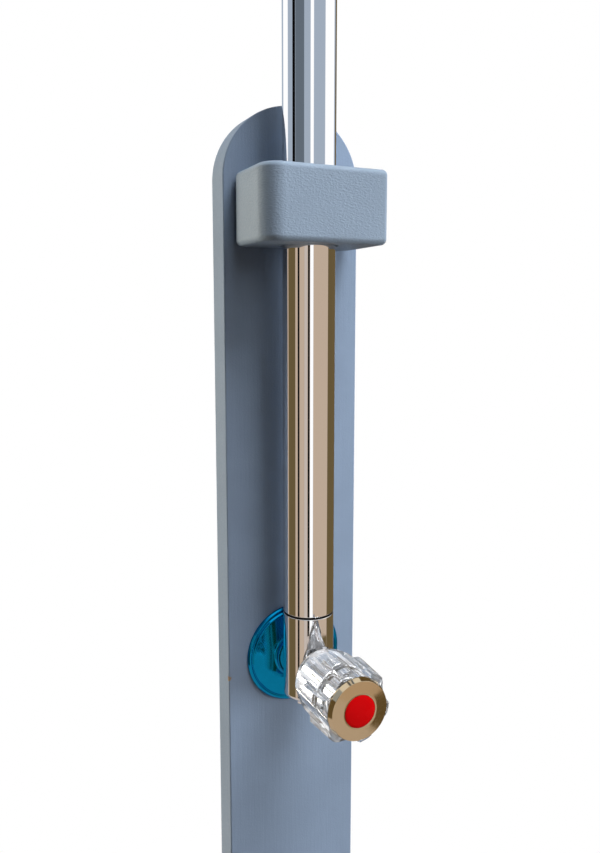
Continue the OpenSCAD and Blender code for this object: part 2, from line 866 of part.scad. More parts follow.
module rose_nozzles() {
    color("gray") on_neck_end(face_start) at_nozzles() difference() {
        union() {
            translate([0, 0, -nozzle_head_t]) cylinder(h = nozzle_head_t, r = nozzle_head_r);
            cylinder(h = face_t, r = nozzle_r);
            translate([0, 0, face_t]) cylinder(h = nozzle_out, r1 = nozzle_r, r2 = nozzle_r / 2);
        }
        translate([0, 0, -nozzle_head_t - cut_over])
            cylinder(h = nozzle_head_t + face_t + nozzle_out + 2 * cut_over, r = nozzle_bore_r);
    }
}

module strainer() {
    color("silver") on_neck_end(socket_front - 2 * strainer_t) difference() {
        cylinder(h = strainer_t, r = strainer_r);
        for (i = [0:strainer_holes - 1]) rotate([0, 0, i * 360 / strainer_holes])
            translate([strainer_ring_r, 0, -cut_over]) cylinder(h = strainer_t + 2 * cut_over, r = strainer_hole_r);
    }
}

board();
wall_inserts();
clamp_block();
block_screws();
clamp_bush();
riser_tube();
joint_ring();
spigot_rings();
valve_body();
body_plug();
flange();
flange_seal();
inlet_tail();
tail_washer();
back_washer();
back_nut();
cartridge();
seat_ring();
fixed_disc();
turning_disc();
spindle();
stem_rings();
spindle_clip();
handle_knob();
handle_bush();
handle_screw();
handle_cap();
index_disc();
collar();
collar_ring();
collar_screw();
swan_neck();
ball_stud();
ball_cup();
ball_socket();
rose_shell();
rose_gasket();
rose_face();
rose_nozzles();
strainer();
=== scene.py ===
import math

import bmesh
import bpy
from bpy.props import FloatProperty, FloatVectorProperty, IntProperty, PointerProperty
from mathutils import Matrix, Vector


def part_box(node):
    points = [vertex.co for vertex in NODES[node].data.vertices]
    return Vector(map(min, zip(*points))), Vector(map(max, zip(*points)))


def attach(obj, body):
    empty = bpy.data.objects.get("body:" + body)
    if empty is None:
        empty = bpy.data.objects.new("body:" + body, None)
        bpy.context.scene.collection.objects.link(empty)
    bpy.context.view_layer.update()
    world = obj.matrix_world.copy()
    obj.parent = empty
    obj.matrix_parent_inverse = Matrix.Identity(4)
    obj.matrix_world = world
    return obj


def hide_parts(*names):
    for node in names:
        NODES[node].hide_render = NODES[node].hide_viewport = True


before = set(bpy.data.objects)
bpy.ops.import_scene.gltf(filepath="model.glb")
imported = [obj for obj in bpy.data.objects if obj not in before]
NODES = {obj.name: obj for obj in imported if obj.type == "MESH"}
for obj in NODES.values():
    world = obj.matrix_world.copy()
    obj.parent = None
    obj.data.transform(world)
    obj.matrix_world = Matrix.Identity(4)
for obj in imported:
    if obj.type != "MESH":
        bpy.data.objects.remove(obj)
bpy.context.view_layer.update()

bl_info = {
    "name": "Outdoor shower post",
    "version": (1, 0, 0),
    "blender": (4, 5, 0),
    "location": "3D View > Sidebar > Shower",
    "description": "Dresses the shower post: painted plank, chrome riser and tap, clear handle and rose",
    "category": "Object",
}

MM = 0.001


def linear(code):
    """An sRGB hex colour as linear red, green and blue."""
    shares = [int(code[i : i + 2], 16) / 255 for i in (1, 3, 5)]
    return tuple(s / 12.92 if s <= 0.04045 else ((s + 0.055) / 1.055) ** 2.4 for s in shares)


# Places, in millimetres, as the solids have them


def reach(node):
    """Lowest and highest corner of a solid at rest, in millimetres."""
    return tuple(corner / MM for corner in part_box(node))


BOARD_LO, BOARD_HI = reach("board")
BLOCK_LO, BLOCK_HI = reach("clamp_block")
TUBE_LO, TUBE_HI = reach("riser_tube")
BARREL_TOP = reach("valve_body")[1].z
FLANGE_LO, FLANGE_HI = reach("flange")
TUBE_R = (TUBE_HI.x - TUBE_LO.x) / 2
AXIS_Y = (TUBE_HI.y + TUBE_LO.y) / 2
FACE_Y = BOARD_LO.y
TAP_Z = (FLANGE_LO.z + FLANGE_HI.z) / 2
KNOB_OUT = FACE_Y - reach("handle_knob")[1].y
KNOB_END = FACE_Y - reach("handle_knob")[0].y
BLOCK_Z = (BLOCK_LO.z + BLOCK_HI.z) / 2

# Turns a height to point forward, out of the plank's face
FORWARD = Matrix.Rotation(math.radians(90), 4, "X")
# From the tap's axis, with +Z pointing out of the plank's face
OUTWARD = Matrix.Translation((0, FACE_Y, TAP_Z)) @ FORWARD
# From the riser's axis, at the ground
UPRIGHT = Matrix.Translation((0, AXIS_Y, 0))

# The swan neck goes straight up, round its bend and down a straight end
BEND_RISE, BEND_R, BEND_TURN, NECK_TAIL = 65, 85, math.radians(160), 24
# From the neck's open end, with +Z pointing out of it
NECK_END = (
    Matrix.Translation((0, AXIS_Y - BEND_R, TUBE_HI.z + BEND_RISE))
    @ Matrix.Rotation(BEND_TURN, 4, "X")
    @ Matrix.Translation((0, BEND_R, NECK_TAIL))
)

# The camera that was fitted to the photo: its place in metres, and its turns from looking level along +Y
CAMERA_AT = (-0.2297, -0.5158, 1.2912)
CAMERA_DIP, CAMERA_TURN = 0.1344, -0.4362


# Sizes and colours that a user would change


def swatch(name, description, code):
    """A colour, from its hex code."""
    return FloatVectorProperty(name=name, description=description, subtype="COLOR", default=linear(code))


def length(name, description, default):
    """A length in metres."""
    return FloatProperty(name=name, description=description, unit="LENGTH", default=default)


def angle(name, description, degrees):
    """An angle, which Blender keeps in radians."""
    return FloatProperty(name=name, description=description, subtype="ANGLE", default=math.radians(degrees))


def power(name, description, watts):
    """A lamp's power."""
    return FloatProperty(name=name, description=description, unit="POWER", default=watts)


class PaintValues(bpy.types.PropertyGroup):
    colour: swatch("Paint", "Colour of the painted wood", "#8497B0")
    wood: swatch("Bare wood", "Wood that shows where the paint is chipped", "#A8957F")
    block: swatch("Block paint", "Colour of the clamp block", "#8799AD")
    stipple: length("Stipple", "Width of a grain of the rolled paint", 0.0011)
    grain: length("Wood grain", "Width of a grain line that shows through the paint", 0.0013)


class TapValues(bpy.types.PropertyGroup):
    flange: swatch("Flange", "Blue of the anodised flange", "#0A8CC2")
    index: swatch("Index", "Red of the index", "#CE0308")


class HandleValues(bpy.types.PropertyGroup):
    flutes: IntProperty(
        name="Flutes", description="Number of flutes round the handle", default=6, min=5, max=8
    )
    depth: length("Flute depth", "Depth of a flute, from the back ends of the ridges", 0.0054)
    ridge: angle("Ridge", "Angle of the ridge between two flutes", 13)
    turn: angle("Turn", "Angle of the first flute when the tap is shut", 17)
    edge: length("Ridge edge", "Rounding between a flute and its ridge", 0.0006)


class RoseValues(bpy.types.PropertyGroup):
    rings: IntProperty(
        name="Rings", description="Rings of nozzles round the middle one", default=4, min=2, max=4
    )
    pitch: length("Pitch", "Distance from one ring of nozzles to the next", 0.012)


class StudioValues(bpy.types.PropertyGroup):
    key: power("Key", "Power of the broad lamp in front", 18)
    top: power("Top", "Power of the lamp overhead", 118)
    right: power("Right", "Power of the lamp at the right", 66)
    side: power("Side", "Power of the lamp at the left", 125)
    back: power("Back", "Power of the lamp behind", 30)
    fill: FloatProperty(name="Fill", description="Strength of the light from all round", default=0.03)
    lens: FloatProperty(
        name="Focal length", description="Focal length on a 36 mm long side", unit="CAMERA", default=33.44
    )


# Shapes


def loft(name, rings, closed=False):
    """A skin over rings of points in millimetres. A ring of one point is a pole, and closed joins the last
    ring to the first."""
    points, faces, starts = [], [], []
    for ring in rings:
        starts.append(len(points))
        points += [Vector(p) * MM for p in ring]
    order = [*range(len(rings)), 0] if closed else range(len(rings))
    for a, b in zip(order, order[1:]):
        na, nb = len(rings[a]), len(rings[b])
        for i in range(max(na, nb)):
            j = i + 1
            corners = [starts[a] + i % na, starts[a] + j % na, starts[b] + j % nb, starts[b] + i % nb]
            faces.append(list(dict.fromkeys(corners)))
    mesh = bpy.data.meshes.new(name)
    mesh.from_pydata(points, [], [f for f in faces if len(f) > 2])
    return smooth(add_object(name, mesh))


def add_object(name, mesh):
    piece = bpy.data.objects.new(name, mesh)
    bpy.context.scene.collection.objects.link(piece)
    return piece


def smooth(piece, angle=35):
    """Faces point outwards, edges sharper than the angle stay sharp, and the rest shade smoothly."""
    skin = bmesh.new()
    skin.from_mesh(piece.data)
    bmesh.ops.remove_doubles(skin, verts=skin.verts, dist=1e-7)
    bmesh.ops.recalc_face_normals(skin, faces=skin.faces)
    skin.to_mesh(piece.data)
    skin.free()
    piece.data.polygons.foreach_set("use_smooth", [True] * len(piece.data.polygons))
    piece.data.set_sharp_from_angle(angle=math.radians(angle))
    return piece


def settle(piece):
    """Turns a piece and its modifiers into a plain mesh."""
    graph = bpy.context.evaluated_depsgraph_get()
    graph.update()
    mesh = bpy.data.meshes.new_from_object(piece.evaluated_get(graph))
    piece.modifiers.clear()
    piece.data = mesh
    return piece


def level(piece):
    """Lets the large faces rule the shading, so that flats stay flat beside a rounding."""
    modifier = piece.modifiers.new("Level", "WEIGHTED_NORMAL")
    modifier.mode = "FACE_AREA"
    modifier.weight = 60
    modifier.keep_sharp = True
    return settle(piece)


def cut(piece, *cutters):
    """Takes the cutters out of the piece."""
    for cutter in cutters:
        modifier = piece.modifiers.new("Cut", "BOOLEAN")
        modifier.operation = "DIFFERENCE"
        modifier.solver = "EXACT"
        modifier.object = cutter
    settle(piece)
    for cutter in cutters:
        bpy.data.objects.remove(cutter)
    return smooth(piece)


def eased(corners, closed=True, steps=5):
    """A profile with its corners rounded. Each corner is (r, h) or (r, h, radius)."""
    line, count = [], len(corners)
    for i, corner in enumerate(corners):
        p = Vector(corner[:2])
        radius = corner[2] if len(corner) > 2 else 0
        if not radius or (not closed and i in (0, count - 1)):
            line.append(tuple(p))
            continue
        a = Vector(corners[i - 1][:2]) - p
        b = Vector(corners[(i + 1) % count][:2]) - p
        half = a.angle(b) / 2
        back = min(radius / math.tan(half), 0.49 * a.length, 0.49 * b.length)
        radius = back * math.tan(half)
        start, end = p + a.normalized() * back, p + b.normalized() * back
        centre = p + (a.normalized() + b.normalized()).normalized() * (radius / math.sin(half))
        u, v = start - centre, end - centre
        sweep = u.angle(v)
        for k in range(steps + 1):
            t = k / steps
            q = (u * math.sin((1 - t) * sweep) + v * math.sin(t * sweep)) / math.sin(sweep)
            line.append(tuple(centre + q))
    return line


def divided(line, step):
    """A closed line with points added, about as far apart as step gives for a stretch's two ends."""
    dense = []
    for p, q in zip(line, line[1:] + line[:1]):
        parts = max(1, round(math.dist(p, q) / step(p, q)))
        dense += [(p[0] + (q[0] - p[0]) * k / parts, p[1] + (q[1] - p[1]) * k / parts) for k in range(parts)]
    return dense


def turned(name, profile, place, count=160, closed=True):
    """A lathe piece from a profile of radius and height. One that starts and ends on the axis is a solid."""
    rings = []
    for r, h in profile:
        if r < 1e-6:
            rings.append([place @ Vector((0, 0, h))])
        else:
            turn = [2 * math.pi * k / count for k in range(count)]
            rings.append([place @ Vector((r * math.cos(a), r * math.sin(a), h)) for a in turn])
    return loft(name, rings, closed and profile[0][0] > 1e-6)


def rod(name, place, r, start, end, count=96):
    """A plain round cutter."""
    return turned(name, [(0, start), (r, start), (r, end), (0, end)], place, count)


def drill(piece, out, depth):
    """Bores the collar screw's hole from behind the riser. It starts that far out from the riser's skin."""
    low, high = reach("collar_screw")
    place = Matrix.Translation((0, AXIS_Y + TUBE_R + out, (low.z + high.z) / 2)) @ FORWARD
    cut(piece, rod("hole", place, 2.1, 0, depth, 48))


def move(piece, place):
    """Moves a finished mesh to a place that is given in millimetres."""
    piece.data.transform(Matrix.Scale(MM, 4) @ place @ Matrix.Scale(1 / MM, 4))


def dress(piece, finish, body=None, nodes=()):
    """Gives a piece its finish, and lets it ride on its body in place of the solids it stands for."""
    material = FINISH[finish]
    if piece.material_slots:
        for place in piece.material_slots:
            place.material = material
    else:
        piece.data.materials.append(material)
    if body:
        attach(piece, body)
    if nodes:
        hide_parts(*nodes)
    return piece


def dress_nodes(finish, *names):
    """Gives carried-over solids their finish."""
    for name in names:
        dress(NODES[name], finish)


# Nodes and materials


def add(tree, kind, sources=(), **settings):
    """Adds a node, sets its options, and links or fills its inputs, which are given by name or in order."""
    node = tree.nodes.new(kind)
    for key, value in settings.items():
        setattr(node, key, value)
    if not isinstance(sources, dict):
        sources = dict(zip((i for i, s in enumerate(node.inputs) if s.enabled), sources))
    for key, source in sources.items():
        if isinstance(source, bpy.types.Node):
            source = next(s for s in source.outputs if s.enabled)
        if isinstance(source, bpy.types.NodeSocket):
            tree.links.new(source, node.inputs[key])
        else:
            node.inputs[key].default_value = source
    return node


def emptied(block):
    """The node tree of a material or a world, with nothing in it."""
    block.use_nodes = True
    block.node_tree.nodes.clear()
    return block.node_tree


def colour(value, share=1):
    """A node input's colour, from linear shares or a hex code, made darker or lighter by a share."""
    return (*(min(1.0, share * c) for c in (linear(value) if isinstance(value, str) else value)), 1)


def begin(name):
    """A new material, its empty tree and the object's own coordinates in it."""
    material = bpy.data.materials.new(name)
    tree = emptied(material)
    return material, tree, add(tree, "ShaderNodeTexCoord").outputs["Object"]


def coat(material, tint, mottle, rough, relief=None, depth=0.0, span=(0, 1), **inputs):
    """Ends a material: its tint, a roughness that runs between two values as the mottle runs over its span,
    and a relief with a depth in metres."""
    tree = material.node_tree
    sources = {key.replace("_", " "): value for key, value in inputs.items()}
    sources["Base Color"] = tint
    sources["Roughness"] = add(
        tree, "ShaderNodeMapRange",
        {"Value": mottle, "From Min": span[0], "From Max": span[1], "To Min": rough[0], "To Max": rough[1]},
    )
    if relief:
        sources["Normal"] = add(tree, "ShaderNodeBump", {"Distance": depth, "Height": relief})
    add(tree, "ShaderNodeOutputMaterial", [add(tree, "ShaderNodeBsdfPrincipled", sources)])
    return material


def painted_wood(name, values, tint, depth, long, grain_share, sheen, chips=()):
    """Exterior satin paint rolled on wood: a matt sheen, a stipple that is longer across by a factor, and
    grain lines that telegraph through. Chips bare the wood."""
    material, tree, place = begin(name)
    drawn = add(tree, "ShaderNodeMapping", {"Vector": place, "Scale": (1 / long, 1 / long, 1)})
    fine = add(
        tree, "ShaderNodeTexNoise",
        {"Vector": drawn, "Scale": 1 / values.stipple, "Detail": 1.5, "Roughness": 0.5, "Distortion": 0.6},
    )
    stretched = add(tree, "ShaderNodeMapping", {"Vector": place, "Scale": (1, 1, 0.035)})
    grain = add(
        tree, "ShaderNodeTexNoise",
        {"Vector": stretched, "Scale": 1 / values.grain, "Detail": 4, "Roughness": 0.55, "Distortion": 0.3},
    )
    cloudy = add(tree, "ShaderNodeTexNoise", {"Vector": place, "Scale": 14, "Detail": 5, "Roughness": 0.6})
    shade = add(tree, "ShaderNodeMapRange", {"Value": cloudy, "From Min": 0.3, "From Max": 0.7})
    shown = add(tree, "ShaderNodeMix", [shade, colour(tint, 0.93), colour(tint, 1.05)], data_type="RGBA")
    relief = add(tree, "ShaderNodeMath", [grain, grain_share, fine], operation="MULTIPLY_ADD")
    if chips:
        bared = bare_spots(tree, place, chips)
        wood = [grain, colour(values.wood, 0.45), colour(values.wood, 1.2)]
        wood = add(tree, "ShaderNodeMix", wood, data_type="RGBA")
        shown = add(tree, "ShaderNodeMix", [bared, shown, wood], data_type="RGBA")
        relief = add(tree, "ShaderNodeMath", [bared, -2.5, relief], operation="MULTIPLY_ADD")
    return coat(
        material, shown, fine, (0.42, 0.58), relief, depth, span=(0.3, 0.7), Specular_IOR_Level=sheen
    )


def bare_spots(tree, place, chips):
    """1 inside a chip and 0 outside. Each chip has its middle and its size in millimetres, and a noise about
    as coarse as the chip makes its edge ragged."""
    bared = 0.0
    for x, y, z, size in chips:
        wide = size * MM
        gap = add(tree, "ShaderNodeVectorMath", [place, (x * MM, y * MM, z * MM)], operation="DISTANCE")
        noise = add(tree, "ShaderNodeTexNoise", {"Vector": place, "Scale": 1.6 / wide, "Detail": 4})
        ragged = add(tree, "ShaderNodeMath", [noise, wide * 1.3, gap], operation="MULTIPLY_ADD")
        chip = add(
            tree, "ShaderNodeMapRange",
            {"Value": ragged, "From Min": wide * 1.45, "From Max": wide * 1.6, "To Min": 1, "To Max": 0},
        )
        bared = add(tree, "ShaderNodeMath", [bared, chip], operation="MAXIMUM")
    return bared


def bright_metal(name, tint, rough, mark=0.004, depth=0.0):
    """Polished or plated metal. The roughness drifts with faint water marks, so that long reflections aren't
    perfect."""
    material, tree, place = begin(name)
    marks = add(
        tree, "ShaderNodeTexNoise", {"Vector": place, "Scale": 1 / mark, "Detail": 5, "Roughness": 0.65}
    )
    relief = marks if depth else None
    return coat(material, colour(tint), marks, rough, relief, depth, span=(0.35, 0.75), Metallic=1.0)


def turned_metal(name, tint, rough, pitch, depth):
    """Metal with the fine rings that a lathe leaves about the tap's axis, such as brass fittings and the
    anodised flange."""
    material, tree, place = begin(name)
    centred = add(tree, "ShaderNodeMapping", {"Vector": place, "Location": (0, 0, -TAP_Z * MM)})
    rings = add(
        tree, "ShaderNodeTexWave", {"Vector": centred, "Scale": 0.31 / pitch, "Distortion": 0.4, "Detail": 2},
        wave_type="RINGS", rings_direction="Y",
    )
    cloud = add(tree, "ShaderNodeTexNoise", {"Vector": place, "Scale": 160, "Detail": 4})
    shown = add(tree, "ShaderNodeMix", [cloud, colour(tint, 0.88), colour(tint, 1.1)], data_type="RGBA")
    return coat(material, shown, cloud, rough, rings.outputs["Fac"], depth, Metallic=1.0)


def plain_stuff(name, dark, light, rough, grit, depth, **inputs):
    """Rubber, nylon, fibre and ceramic: two near colours in a fine mottle, and a relief as fine."""
    material, tree, place = begin(name)
    mottle = add(
        tree, "ShaderNodeTexNoise", {"Vector": place, "Scale": 1 / grit, "Detail": 4, "Roughness": 0.6}
    )
    shown = add(tree, "ShaderNodeMix", [mottle, colour(dark), colour(light)], data_type="RGBA")
    return coat(material, shown, mottle, rough, mottle, depth, **inputs)


def clear_acrylic():
    """Moulded acrylic, polished: most light goes through, with a faint moulding ripple in the gloss that
    softens what is behind it."""
    material, tree, place = begin("clear_acrylic_polished")
    ripple = add(tree, "ShaderNodeTexNoise", {"Vector": place, "Scale": 130, "Detail": 2})
    return coat(material, colour("#F3F6FA"), ripple, (0.0, 0.03), Transmission_Weight=0.9, IOR=1.49)


def red_plastic(values):
    """Moulded plastic, red right through: hardly any white gleam over a slightly uneven red."""
    material, tree, place = begin("red_plastic_gloss")
    cloud = add(tree, "ShaderNodeTexNoise", {"Vector": place, "Scale": 90, "Detail": 3})
    shown = [cloud, colour(values.index, 0.9), colour(values.index)]
    shown = add(tree, "ShaderNodeMix", shown, data_type="RGBA")
    return coat(material, shown, cloud, (0.2, 0.32), Specular_IOR_Level=0.03)


FINISH = {}


def make_finishes(scene):
    """Makes every finish once. Lengths are in metres, and chips are places and sizes in millimetres."""
    paint, tap = scene.shower_paint, scene.shower_tap
    FINISH.update(
        # Matt blue-grey, fine grain lines upright, and bare wood in three small chips
        plank=painted_wood(
            "satin_paint_on_plank", paint, paint.colour, depth=0.0001, long=1.0, grain_share=1.2, sheen=0.25,
            chips=[(-50, -10.5, 1038, 2.2), (-28, -8, 1426, 3.0), (50, -9, 1180, 1.6)],
        ),
        # The same paint in a deeper stipple that runs across, with more sheen and hardly any grain
        block=painted_wood(
            "satin_paint_on_block", paint, paint.block, depth=0.0003, long=1.8, grain_share=0.1, sheen=0.45,
            chips=[(42, -64, 1341, 0.8)],
        ),
        # A near mirror, hardly tinted
        chrome=bright_metal("chrome_plate_polished", "#E9E9EB", (0.015, 0.06)),
        # Chrome plate, a little blurred, with a warm tint painted into its colour: a painted reflection of
        # warm surroundings
        cap=bright_metal("chrome_plate_painted_warm_reflection", "#D0BE9F", (0.06, 0.14), 0.003),
        # Grey, with broad soft highlights
        steel=bright_metal("stainless_steel_brushed", "#B9BABB", (0.22, 0.38), 0.002, 0.00002),
        # Deep blue that still mirrors, with faint rings
        blue=turned_metal("aluminium_anodised_blue", tap.flange, (0.05, 0.12), 0.0006, 0.000003),
        # Pale and soft behind the acrylic
        lining=bright_metal("silvered_lining", "#F2F3F5", (0.14, 0.24), 0.006),
        # Warm grey, less sharp than chrome
        plated=bright_metal("nickel_plate_satin", "#CFCDC8", (0.12, 0.22)),
        # Yellow, with the rings of the lathe
        brass=turned_metal("brass_turned", linear("#C79A45"), (0.2, 0.34), 0.0008, 0.00002),
        acrylic=clear_acrylic(),
        red=red_plastic(tap),
        # Black that hardly gleams
        ring=plain_stuff(
            "black_rubber_moulded", "#060607", "#0E0E10", (0.4, 0.55), 0.0008, 0.00003,
            Specular_IOR_Level=0.12,
        ),
        # Mid grey and matt
        nozzle=plain_stuff("grey_silicone_moulded", "#6E7276", "#83878B", (0.45, 0.6), 0.0008, 0.00003),
        # Off-white with a slight gleam
        nylon=plain_stuff("white_nylon_turned", "#D8D6CE", "#E9E7E0", (0.35, 0.5), 0.001, 0.00003),
        # Dull red-brown
        fibre=plain_stuff("red_fibre_washer", "#6E2F1C", "#8A4327", (0.6, 0.8), 0.0007, 0.00005),
        # White and glossy
        ceramic=plain_stuff("ceramic_lapped", "#E4E2DC", "#F2F0EC", (0.12, 0.2), 0.002, 0.00001),
        # Dark grey, matt and open
        foam=plain_stuff("grey_foam_seal", "#3B3D40", "#4C4E52", (0.7, 0.9), 0.0009, 0.0001),
    )


# Trees of Geometry Nodes


def open_tree(name, inputs):
    """A Geometry Nodes tree with its named inputs. Returns it with what each input gives, by name."""
    tree = bpy.data.node_groups.new(name, "GeometryNodeTree")
    for key, kind in {"Geometry": "Geometry", **inputs, "Material": "Material"}.items():
        tree.interface.new_socket(key, in_out="INPUT", socket_type="NodeSocket" + kind)
    tree.interface.new_socket("Geometry", in_out="OUTPUT", socket_type="NodeSocketGeometry")
    return tree, {socket.name: socket for socket in add(tree, "NodeGroupInput").outputs}


def close_tree(tree, shape, material):
    """Ends a tree with real geometry in its material."""
    real = add(tree, "GeometryNodeRealizeInstances", [shape])
    done = add(tree, "GeometryNodeSetMaterial", {"Geometry": real, "Material": material})
    add(tree, "NodeGroupOutput", [done])
    return tree


def run_tree(piece, tree, given):
    """Puts a tree on a piece with its inputs, and turns the result into a plain mesh."""
    modifier = piece.modifiers.new(tree.name, "NODES")
    modifier.node_group = tree
    for item in tree.interface.items_tree:
        if item.in_out == "INPUT" and item.name in given:
            modifier[item.identifier] = given[item.name]
    settle(piece)


# Operators


class SHOWER_OT_studio(bpy.types.Operator):
    """Pale floor and backdrop, soft lamps, cards that polished metal reflects, and the camera"""

    bl_idname = "shower.studio"
    bl_label = "Studio"

    def execute(self, context):
        values = context.scene.shower_studio
        make_finishes(context.scene)
        self.make_world(context.scene, values)
        self.make_floor()
        self.make_cards()
        aim = Vector((0, -0.04, 1.2))
        lamps = (
            ("key_lamp", (0.42, -2.74, 2.8), (2.0, 2.0), values.key, "#FFFFFF"),
            ("top_lamp", (0.75, -1.2, 3.95), (1.6, 1.6), values.top, "#FFFFFF"),
            ("right_lamp", (2.51, -1.49, 1.3), (1.2, 1.6), values.right, "#FFFFFF"),
            ("side_lamp", (-2.2, 2.1, 1.3), (1.6, 1.6), values.side, "#FFF2DC"),
            ("back_lamp", (0.8, 3.0, 2.2), (2.0, 2.6), values.back, "#FFFFFF"),
        )
        for name, place, size, watts, tint in lamps:
            lamp = bpy.data.lights.new(name, "AREA")
            lamp.shape, lamp.size, lamp.size_y, lamp.energy = "RECTANGLE", *size, watts
            lamp.color = linear(tint)
            holder = add_object(name, lamp)
            holder.location = place
            holder.rotation_euler = (aim - holder.location).to_track_quat("-Z", "Y").to_euler()
            holder.visible_glossy = False
        camera = bpy.data.cameras.new("camera")
        camera.lens, camera.sensor_width = values.lens, 36
        holder = add_object("camera", camera)
        holder.location = CAMERA_AT
        holder.rotation_euler = (math.pi / 2 - CAMERA_DIP, 0, CAMERA_TURN)
        context.scene.camera = holder
        context.scene.view_settings.view_transform = "Standard"
        return {"FINISHED"}

    def make_world(self, scene, values):
        """White to the eye, to metal and to glass, and a soft fill for everything else."""
        scene.world = scene.world or bpy.data.worlds.new("world")
        tree = emptied(scene.world)
        path = add(tree, "ShaderNodeLightPath").outputs
        seen = path["Is Camera Ray"]
        for ray in ("Is Glossy Ray", "Is Transmission Ray"):
            seen = add(tree, "ShaderNodeMath", [seen, path[ray]], operation="MAXIMUM")
        strength = add(tree, "ShaderNodeMapRange", {"Value": seen, "To Min": values.fill, "To Max": 1.0})
        add(tree, "ShaderNodeOutputWorld", [add(tree, "ShaderNodeBackground", [colour("#FFFFFF"), strength])])

    def make_floor(self):
        """A pale floor that takes the shadow near the post and fades to the white backdrop further off."""
        material, tree, place = begin("pale_floor")
        far = add(tree, "ShaderNodeVectorMath", [place], operation="LENGTH")
        fade = add(tree, "ShaderNodeMapRange", {"Value": far, "From Min": 0.5, "From Max": 1.3})
        cloud = add(tree, "ShaderNodeTexNoise", {"Vector": place, "Scale": 3, "Detail": 3})
        pale = add(tree, "ShaderNodeMapRange", {"Value": cloud, "To Min": 0.86, "To Max": 0.9})
        matt = add(tree, "ShaderNodeBsdfDiffuse", [pale])
        white = add(tree, "ShaderNodeEmission", [colour("#FFFFFF"), 1.0])
        add(tree, "ShaderNodeOutputMaterial", [add(tree, "ShaderNodeMixShader", [fade, matt, white])])
        floor = turned("floor", [(0, -0.5), (1200, -0.5), (9000, -0.5)], Matrix(), 64, closed=False)
        floor.data.flip_normals()
        floor.data.materials.append(material)
        floor.visible_diffuse = False

    def make_cards(self):
        """Plain upright cards round the post, as a photographer stands them round polished metal: pale ones
        and dark flags, cool above and warm below. Only glossy rays see them. Each has its top and bottom in
        metres, the angles of its two sides and its tone. Angles run from the camera's side to the right of
        the post as the camera sees it. Later cards stand in front of earlier ones."""
        tones = {
            "white": "#FFFFFF", "steel": "#A0ACBA", "slate": "#606A74", "black": "#080808",
            "stone": "#C0B4AA", "tan": "#BCA894", "olive": "#645538",
        }
        cards = (
            (3.2, 1.6, -180, 180, "steel"), (1.6, 0.0, -180, 180, "tan"),
            # Above the middle of the post: wide pale cards, a pale strip in front and dark flags beside it
            (3.2, 1.6, -140, -100, "white"), (3.2, 1.6, -75, -60, "black"), (3.2, 1.6, -60, -20, "slate"),
            (3.2, 1.6, 5, 20, "white"), (3.2, 1.6, 70, 130, "white"), (3.2, 1.6, 140, 180, "olive"),
            # Below it: the same idea with warm cards
            (1.6, 0.0, -180, -130, "black"), (1.6, 0.0, -100, -60, "olive"), (1.6, 0.0, -50, -40, "black"),
            (1.6, 0.0, -20, -5, "stone"), (1.6, 0.0, -5, 5, "black"), (1.6, 0.0, 5, 20, "white"),
            (1.6, 0.0, 90, 180, "olive"),
            # A low card in front of the handle, and a dark one at its right
            (0.4, 0.0, -10, 55, "stone"), (0.4, 0.0, 55, 90, "olive"),
        )
        toward = math.atan2(CAMERA_AT[1] - AXIS_Y * MM, CAMERA_AT[0])
        feather, glow, ground = 1.5, 1.22, 1.8
        points, faces, shades = [], [], []
        for k, (top, bottom, a, b, tone) in enumerate(cards):
            away = 1.7 - 0.003 * k
            count = round((b - a) / 5) + 1
            inner = [a + feather + (b - a - 2 * feather) * i / count for i in range(count + 1)]
            base, wide = len(points), count + 3
            for z in (top, bottom):
                for side in (a, *inner, b):
                    turn = toward + math.radians(side)
                    points.append((away * math.cos(turn), away * math.sin(turn) + AXIS_Y * MM, z))
                    clear = side in (a, b) and b - a < 360
                    shades += [*linear(tones[tone]), 0.0 if clear else 1.0]
            faces += [(i, i + 1, i + 1 + wide, i + wide) for i in range(base, base + wide - 1)]
        # The ground, which the lower metal reflects
        base = len(points)
        points += [(x * ground, y * ground, MM) for x, y in ((-1, -1), (1, -1), (1, 1), (-1, 1))]
        shades += [*linear(tones["stone"]), 1.0] * 4
        faces.append(tuple(range(base, base + 4)))
        mesh = bpy.data.meshes.new("reflector_cards")
        mesh.from_pydata(points, [], faces)
        mesh.color_attributes.new("tone", "FLOAT_COLOR", "POINT").data.foreach_set("color", shades)
        material = bpy.data.materials.new("card")
        tree = emptied(material)
        tone = add(tree, "ShaderNodeVertexColor", layer_name="tone").outputs
        shining = add(tree, "ShaderNodeEmission", [tone["Color"], glow])
        mixed = [tone["Alpha"], add(tree, "ShaderNodeBsdfTransparent"), shining]
        add(tree, "ShaderNodeOutputMaterial", [add(tree, "ShaderNodeMixShader", mixed)])
        mesh.materials.append(material)
        screen = add_object("reflector_cards", mesh)
        for ray in ("camera", "diffuse", "shadow", "transmission"):
            setattr(screen, "visible_" + ray, False)


